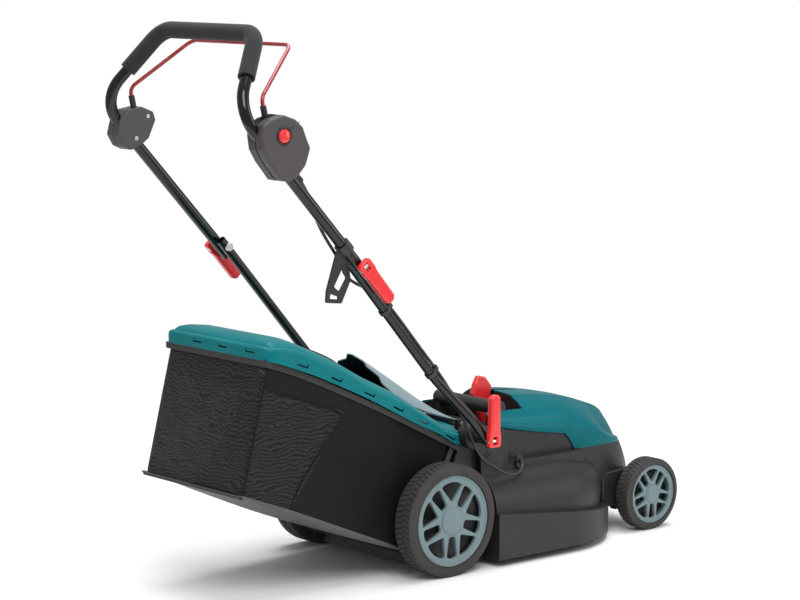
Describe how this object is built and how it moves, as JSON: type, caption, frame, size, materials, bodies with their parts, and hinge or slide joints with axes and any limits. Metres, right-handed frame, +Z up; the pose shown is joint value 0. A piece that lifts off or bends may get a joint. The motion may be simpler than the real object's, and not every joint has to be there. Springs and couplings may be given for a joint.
{
  "type": "rotary lawn mower",
  "caption": "Corded rotary lawn mower with a folding tube handle, switch bail, height-adjustable wheels and a rear fabric grass collector.",
  "frame": {"origin": "on the floor, under the middle of the mower", "axes": "+X direction of travel, +Y operator's left, +Z up"},
  "size_m": [1.1716, 0.493, 1.069],
  "materials": {
    "armature": "plain",
    "bag_wire": "plain",
    "bail": "red coat",
    "bail_stubs": "moulded, fine texture",
    "blade": "black coat",
    "blade_bolt": "zinc plated",
    "blade_carrier": "die cast",
    "cable_clips": "moulded, fine texture",
    "cable_deck": "smooth sheath",
    "cable_gland": "moulded, fine texture",
    "cable_lower": "smooth sheath",
    "cable_upper": "smooth sheath",
    "cam_lever_low_left": "moulded, gloss",
    "cam_lever_low_right": "moulded, gloss",
    "cam_lever_mid_left": "moulded, gloss",
    "cam_lever_mid_right": "moulded, gloss",
    "carry_bar": "moulded, textured",
    "collector_frame": "moulded, textured",
    "collector_lid": "moulded, satin",
    "cooling_fan": "moulded, fine texture",
    "cord_hook": "moulded, fine texture",
    "cover_screws": "zinc plated",
    "deck": "moulded, fine texture",
    "flap_rod": "zinc plated",
    "flap_spring": "zinc plated",
    "foam_grip": "closed-cell foam",
    "front_axle": "zinc plated",
    "front_axle_nuts": "zinc plated",
    "grass_bag": "woven mesh and coated cloth",
    "height_lever": "moulded, gloss",
    "height_quadrant": "zinc plated",
    "hub_front_left": "moulded, satin",
    "hub_front_right": "moulded, satin",
    "hub_rear_left": "moulded, satin",
    "hub_rear_right": "moulded, satin",
    "joint_spacers": "moulded, fine texture",
    "left_cover_inner": "moulded, textured",
    "left_cover_outer": "moulded, textured",
    "lid_handle": "moulded, textured",
    "lock_button": "moulded, gloss",
    "low_joint_bolts": "zinc plated",
    "lower_tube_left": "gloss black coat",
    "lower_tube_right": "gloss black coat",
    "micro_switch": "moulded, fine texture",
    "mid_joint_bolts": "zinc plated",
    "motor_can": "rolled",
    "motor_end_plate": "die cast",
    "motor_hood": "moulded, satin",
    "motor_shaft": "plain",
    "rear_axle": "zinc plated",
    "rear_axle_nuts": "zinc plated",
    "rear_flap": "moulded, satin",
    "rear_guard": "moulded, fine texture",
    "switch_box_inner": "moulded, textured",
    "switch_box_outer": "moulded, textured",
    "tyre_front_left": "ribbed tread",
    "tyre_front_right": "ribbed tread",
    "tyre_rear_left": "ribbed tread",
    "tyre_rear_right": "ribbed tread",
    "upper_tube": "gloss black coat"
  },
  "bodies": {
    "chassis": {"deck": "deck", "motor_hood": "motor_hood", "carry_bar": "carry_bar", "motor_can": "motor_can", "motor_end_plate": "motor_end_plate", "flap_rod": "flap_rod", "flap_spring": "flap_spring", "rear_guard": "rear_guard", "cable_gland": "cable_gland", "height_quadrant": "height_quadrant", "joint_spacers": "joint_spacers", "cable_deck": "cable_deck"},
    "rotor": {"motor_shaft": "motor_shaft", "armature": "armature", "cooling_fan": "cooling_fan", "blade_carrier": "blade_carrier", "blade": "blade", "blade_bolt": "blade_bolt"},
    "front_axle_set": {"front_axle": "front_axle", "front_axle_nuts": "front_axle_nuts"},
    "rear_axle_set": {"rear_axle": "rear_axle", "rear_axle_nuts": "rear_axle_nuts"},
    "height_lever_set": {"height_lever": "height_lever"},
    "flap": {"rear_flap": "rear_flap"},
    "collector": {"collector_frame": "collector_frame", "collector_lid": "collector_lid", "lid_handle": "lid_handle", "grass_bag": "grass_bag", "bag_wire": "bag_wire"},
    "lower_handle": {"lower_tube_left": "lower_tube_left", "lower_tube_right": "lower_tube_right", "low_joint_bolts": "low_joint_bolts", "cable_clips": "cable_clips", "cable_lower": "cable_lower"},
    "upper_handle": {"upper_tube": "upper_tube", "foam_grip": "foam_grip", "switch_box_inner": "switch_box_inner", "switch_box_outer": "switch_box_outer", "micro_switch": "micro_switch", "left_cover_inner": "left_cover_inner", "left_cover_outer": "left_cover_outer", "cover_screws": "cover_screws", "mid_joint_bolts": "mid_joint_bolts", "cable_upper": "cable_upper"},
    "bail_set": {"bail": "bail", "bail_stubs": "bail_stubs"},
    "button": {"lock_button": "lock_button"},
    "hook": {"cord_hook": "cord_hook"},
    "wheel_front_left": {"tyre_front_left": "tyre_front_left", "hub_front_left": "hub_front_left"},
    "wheel_front_right": {"tyre_front_right": "tyre_front_right", "hub_front_right": "hub_front_right"},
    "wheel_rear_left": {"tyre_rear_left": "tyre_rear_left", "hub_rear_left": "hub_rear_left"},
    "wheel_rear_right": {"tyre_rear_right": "tyre_rear_right", "hub_rear_right": "hub_rear_right"},
    "cam_mid_left": {"cam_lever_mid_left": "cam_lever_mid_left"},
    "cam_mid_right": {"cam_lever_mid_right": "cam_lever_mid_right"},
    "cam_low_left": {"cam_lever_low_left": "cam_lever_low_left"},
    "cam_low_right": {"cam_lever_low_right": "cam_lever_low_right"}
  },
  "joints": [
    {"name": "rotor_spin", "type": "hinge", "parent": "chassis", "child": "rotor", "pos_m": [0.238, 0, 0.06], "axis": [0, 0, 1], "continuous": true},
    {"name": "height_lever_turn", "type": "hinge", "parent": "chassis", "child": "height_lever_set", "pos_m": [0.186, 0, 0.232], "axis": [0, 1, 0], "range_deg": [0, 28]},
    {"name": "front_axle_swing", "type": "hinge", "parent": "chassis", "child": "front_axle_set", "pos_m": [0.478, 0, 0.05], "axis": [0, 1, 0], "range_deg": [0, 50]},
    {"name": "rear_axle_swing", "type": "hinge", "parent": "chassis", "child": "rear_axle_set", "pos_m": [-0.01, 0, 0.027], "axis": [0, -1, 0], "range_deg": [0, 22.3]},
    {"name": "wheel_front_left_spin", "type": "hinge", "parent": "front_axle_set", "child": "wheel_front_left", "pos_m": [0.5108, 0.15, 0.075], "axis": [0, 1, 0], "continuous": true},
    {"name": "wheel_front_right_spin", "type": "hinge", "parent": "front_axle_set", "child": "wheel_front_right", "pos_m": [0.5108, -0.15, 0.075], "axis": [0, 1, 0], "continuous": true},
    {"name": "wheel_rear_left_spin", "type": "hinge", "parent": "rear_axle_set", "child": "wheel_rear_left", "pos_m": [-0.086, 0.193, 0.11], "axis": [0, 1, 0], "continuous": true},
    {"name": "wheel_rear_right_spin", "type": "hinge", "parent": "rear_axle_set", "child": "wheel_rear_right", "pos_m": [-0.086, -0.193, 0.11], "axis": [0, 1, 0], "continuous": true},
    {"name": "flap_lift", "type": "hinge", "parent": "chassis", "child": "flap", "pos_m": [0.018, 0, 0.276], "axis": [0, 1, 0], "range_deg": [0, 50], "stiffness_Nm_per_rad": 0.15, "springref_deg": -34.38},
    {"name": "collector_pull", "type": "slide", "parent": "chassis", "child": "collector", "axis": [-0.9063, 0, 0.4226], "range_m": [0, 0.25]},
    {"name": "lower_handle_fold", "type": "hinge", "parent": "chassis", "child": "lower_handle", "pos_m": [-0.003, 0, 0.26], "axis": [0, 1, 0], "range_deg": [0, 45]},
    {"name": "upper_handle_fold", "type": "hinge", "parent": "lower_handle", "child": "upper_handle", "pos_m": [-0.32, 0, 0.624], "axis": [0, 1, 0], "range_deg": [0, 125]},
    {"name": "bail_pull", "type": "hinge", "parent": "upper_handle", "child": "bail_set", "pos_m": [-0.522, 0, 0.888], "axis": [0, -1, 0], "range_deg": [0, 18], "stiffness_Nm_per_rad": 1.2, "springref_deg": -28.65},
    {"name": "lock_button_press", "type": "slide", "parent": "upper_handle", "child": "button", "axis": [0, 1, 0], "range_m": [0, 0.004], "stiffness_N_per_m": 400, "springref_m": -0.003},
    {"name": "cord_hook_swing", "type": "hinge", "parent": "upper_handle", "child": "hook", "pos_m": [-0.3539, -0.216, 0.6607], "axis": [-0.6782, 0, 0.7349], "range_deg": [0, 40]},
    {"name": "cam_mid_left_open", "type": "hinge", "parent": "upper_handle", "child": "cam_mid_left", "pos_m": [-0.32, 0.236, 0.624], "axis": [0.7541, 0, 0.6567], "range_deg": [0, 95]},
    {"name": "cam_mid_right_open", "type": "hinge", "parent": "upper_handle", "child": "cam_mid_right", "pos_m": [-0.32, -0.236, 0.624], "axis": [-0.7541, 0, -0.6567], "range_deg": [0, 95]},
    {"name": "cam_low_left_open", "type": "hinge", "parent": "lower_handle", "child": "cam_low_left", "pos_m": [-0.003, 0.2385, 0.26], "axis": [-0.9998, 0, 0.0222], "range_deg": [0, 95]},
    {"name": "cam_low_right_open", "type": "hinge", "parent": "lower_handle", "child": "cam_low_right", "pos_m": [-0.003, -0.2385, 0.26], "axis": [0.9998, 0, -0.0222], "range_deg": [0, 95]}
  ],
  "couplings": [
    {"joint": "front_axle_swing", "follows": "height_lever_turn", "ratio": 1.7857},
    {"joint": "rear_axle_swing", "follows": "height_lever_turn", "ratio": 0.79643}
  ]
}
